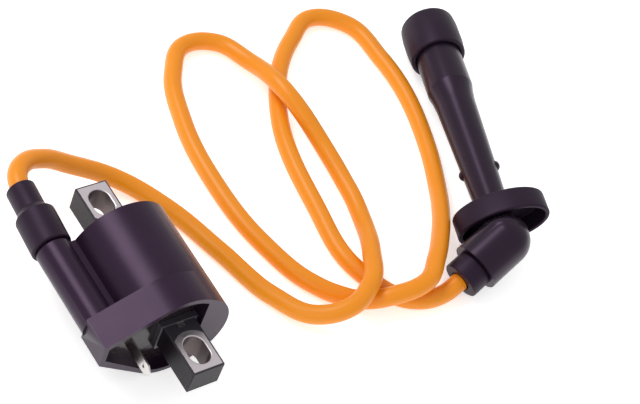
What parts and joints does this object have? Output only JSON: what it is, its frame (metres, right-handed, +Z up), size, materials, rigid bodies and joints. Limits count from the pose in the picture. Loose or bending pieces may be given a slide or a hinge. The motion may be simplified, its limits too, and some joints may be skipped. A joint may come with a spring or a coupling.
{
  "type": "ignition coil",
  "caption": "Ignition coil with a slotted laminated core, moulded barrel case, coiled orange high-tension lead and elbow spark plug cap.",
  "frame": {"origin": "centre of the coil's footprint (case, core and tower boot), on the floor the barrel lies on", "axes": "+Z up, along the mounting bolts; +Y along the core towards the high-tension tower's end; +X away from the tower"},
  "size_m": [0.2533, 0.1699, 0.0449],
  "materials": {
    "case_plastic": "black moulded plastic, satin",
    "core_steel": "laminated steel, bright on top of the lugs and black-painted on the sides",
    "sleeve_plastic": "dark moulded plastic",
    "bobbin_plastic": "natural moulded plastic",
    "winding_copper": "enamelled copper wire",
    "potting_epoxy": "black epoxy, smooth",
    "terminal_tin": "tinned brass",
    "contact_brass": "bright brass",
    "boot_rubber": "black rubber, dull",
    "lead_silicone": "orange silicone jacket, semi-gloss",
    "cap_plastic": "black moulded plastic, satin",
    "resistor_ceramic": "white ceramic",
    "spring_steel": "drawn spring wire"
  },
  "bodies": {
    "coil": {"coil_case": "case_plastic", "core_stack": "core_steel", "core_sleeve": "sleeve_plastic", "primary_bobbin": "bobbin_plastic", "primary_winding": "winding_copper", "secondary_bobbin": "bobbin_plastic", "secondary_winding": "winding_copper", "potting_resin": "potting_epoxy", "blade_terminal": "terminal_tin", "earth_tab": "terminal_tin", "ht_link": "winding_copper", "tower_screw": "contact_brass", "tower_boot": "boot_rubber", "ht_lead": "lead_silicone"},
    "cap": {"cap_body": "cap_plastic", "lead_seal": "boot_rubber", "flange_seal": "boot_rubber", "tip_seal": "boot_rubber", "elbow_contact": "contact_brass", "suppressor_resistor": "resistor_ceramic", "contact_spring": "spring_steel", "plug_terminal": "contact_brass"}
  },
  "joints": [
    {"name": "cap_swivel", "type": "hinge", "parent": "coil", "child": "cap", "pos_m": [0.1667, -0.03785, 0.0187], "axis": [0.8932, 0.2034, 0.401], "range_deg": [0, 100]}
  ]
}
